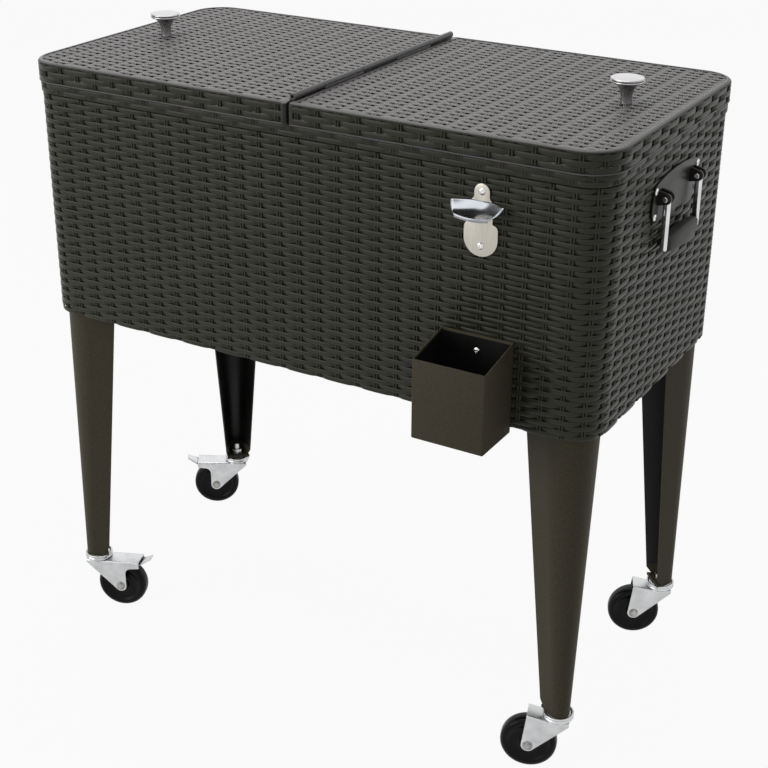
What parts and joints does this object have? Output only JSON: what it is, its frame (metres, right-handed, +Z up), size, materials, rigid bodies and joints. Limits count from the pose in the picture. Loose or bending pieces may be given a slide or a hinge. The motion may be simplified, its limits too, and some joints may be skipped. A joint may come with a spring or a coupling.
{
  "type": "rolling patio cooler",
  "caption": "Insulated wicker-pattern patio cooler with butterfly lids on a centre hinge, side handles, bottle opener and cap catcher, on tapered legs with swivel casters, two of them braked.",
  "frame": {"origin": "on the floor, under the middle of the whole part's box as it stands", "axes": "+X along the length to the end beside the bottle opener, -Y to the front wall, +Z up"},
  "size_m": [0.8588, 0.4746, 0.842],
  "materials": {
    "wicker_resin": "satin moulded wicker-pattern resin",
    "rim_resin": "smooth satin resin",
    "foam": "rigid insulating foam",
    "liner_resin": "smooth white resin",
    "pan_steel": "black paint",
    "seal_rubber": "soft seal rubber",
    "zinc_steel": "bright zinc plate",
    "stainless": "polished stainless",
    "screw_steel": "bright steel",
    "powder_coat": "olive-brown satin powder coat",
    "satin_nickel": "satin nickel",
    "bracket_coat": "dark olive satin coat",
    "bail_chrome": "bright chrome",
    "grip_resin": "black satin resin",
    "wheel_resin": "black moulded resin"
  },
  "bodies": {
    "cooler_body": {"outer_shell": "wicker_resin", "rim_collar": "rim_resin", "insulation_body": "foam", "inner_liner": "liner_resin", "liner_floor": "liner_resin", "rim_flange": "liner_resin", "base_pan": "pan_steel", "rim_gasket": "seal_rubber", "centre_bridge": "rim_resin", "hinge_rod": "zinc_steel", "drain_fitting": "liner_resin", "drain_nut": "liner_resin", "bottle_opener": "stainless", "opener_screws": "screw_steel", "cap_catcher": "powder_coat", "catcher_screws": "screw_steel", "bracket_screws": "screw_steel", "leg_bolts": "zinc_steel", "caster_stems": "zinc_steel", "stem_nuts": "zinc_steel", "handle_bracket_left": "bracket_coat", "handle_bracket_right": "bracket_coat", "leg_front_left": "powder_coat", "leg_front_right": "powder_coat", "leg_back_left": "powder_coat", "leg_back_right": "powder_coat"},
    "drain_stopper": {"drain_plug": "seal_rubber"},
    "lid_left": {"lid_shell_left": "wicker_resin", "lid_foam_left": "foam", "lid_liner_left": "liner_resin", "knob_left": "satin_nickel", "knob_screw_left": "screw_steel"},
    "handle_left": {"bail_left": "bail_chrome", "grip_left": "grip_resin"},
    "lid_right": {"lid_shell_right": "wicker_resin", "lid_foam_right": "foam", "lid_liner_right": "liner_resin", "knob_right": "satin_nickel", "knob_screw_right": "screw_steel"},
    "handle_right": {"bail_right": "bail_chrome", "grip_right": "grip_resin"},
    "caster_front_left": {"fork_front_left": "zinc_steel", "axle_front_left": "zinc_steel"},
    "wheel_body_front_left": {"wheel_front_left": "wheel_resin"},
    "brake_front_left": {"brake_lever_front_left": "zinc_steel"},
    "caster_front_right": {"fork_front_right": "zinc_steel", "axle_front_right": "zinc_steel"},
    "wheel_body_front_right": {"wheel_front_right": "wheel_resin"},
    "caster_back_left": {"fork_back_left": "zinc_steel", "axle_back_left": "zinc_steel"},
    "wheel_body_back_left": {"wheel_back_left": "wheel_resin"},
    "brake_back_left": {"brake_lever_back_left": "zinc_steel"},
    "caster_back_right": {"fork_back_right": "zinc_steel", "axle_back_right": "zinc_steel"},
    "wheel_body_back_right": {"wheel_back_right": "wheel_resin"}
  },
  "joints": [
    {"name": "drain_plug_pull", "type": "slide", "parent": "cooler_body", "child": "drain_stopper", "axis": [0, 0, 1], "range_m": [0, 0.06]},
    {"name": "lid_left_hinge", "type": "hinge", "parent": "cooler_body", "child": "lid_left", "pos_m": [0.01288, 0.03275, 0.8165], "axis": [0, 1, 0], "range_deg": [0, 84]},
    {"name": "handle_left_swing", "type": "hinge", "parent": "cooler_body", "child": "handle_left", "pos_m": [-0.39512, 0.03275, 0.7265], "axis": [0, 1, 0], "range_deg": [0, 115]},
    {"name": "lid_right_hinge", "type": "hinge", "parent": "cooler_body", "child": "lid_right", "pos_m": [0.01288, 0.03275, 0.8165], "axis": [0, -1, 0], "range_deg": [0, 84]},
    {"name": "handle_right_swing", "type": "hinge", "parent": "cooler_body", "child": "handle_right", "pos_m": [0.42088, 0.03275, 0.7265], "axis": [0, -1, 0], "range_deg": [0, 115]},
    {"name": "caster_front_left_swivel", "type": "hinge", "parent": "cooler_body", "child": "caster_front_left", "pos_m": [-0.3564, -0.14183, 0.0765], "axis": [0, 0, 1], "continuous": true},
    {"name": "wheel_front_left_spin", "type": "hinge", "parent": "caster_front_left", "child": "wheel_body_front_left", "pos_m": [-0.32351, -0.12986, 0.036], "axis": [-0.342, 0.9397, 0], "continuous": true},
    {"name": "brake_front_left_press", "type": "hinge", "parent": "caster_front_left", "child": "brake_front_left", "pos_m": [-0.30189, -0.12199, 0.071], "axis": [-0.342, 0.9397, 0], "range_deg": [0, 20]},
    {"name": "caster_front_right_swivel", "type": "hinge", "parent": "cooler_body", "child": "caster_front_right", "pos_m": [0.38216, -0.14183, 0.0765], "axis": [0, 0, 1], "continuous": true},
    {"name": "wheel_front_right_spin", "type": "hinge", "parent": "caster_front_right", "child": "wheel_body_front_right", "pos_m": [0.34907, -0.15322, 0.036], "axis": [0.3256, -0.9455, 0], "continuous": true},
    {"name": "caster_back_left_swivel", "type": "hinge", "parent": "cooler_body", "child": "caster_back_left", "pos_m": [-0.3564, 0.20733, 0.0765], "axis": [0, 0, 1], "continuous": true},
    {"name": "wheel_back_left_spin", "type": "hinge", "parent": "caster_back_left", "child": "wheel_body_back_left", "pos_m": [-0.38608, 0.18878, 0.036], "axis": [0.5299, -0.848, 0], "continuous": true},
    {"name": "brake_back_left_press", "type": "hinge", "parent": "caster_back_left", "child": "brake_back_left", "pos_m": [-0.40558, 0.17659, 0.071], "axis": [0.5299, -0.848, 0], "range_deg": [0, 20]},
    {"name": "caster_back_right_swivel", "type": "hinge", "parent": "cooler_body", "child": "caster_back_right", "pos_m": [0.38216, 0.20733, 0.0765], "axis": [0, 0, 1], "continuous": true},
    {"name": "wheel_back_right_spin", "type": "hinge", "parent": "caster_back_right", "child": "wheel_body_back_right", "pos_m": [0.35044, 0.19254, 0.036], "axis": [0.4226, -0.9063, 0], "continuous": true}
  ]
}
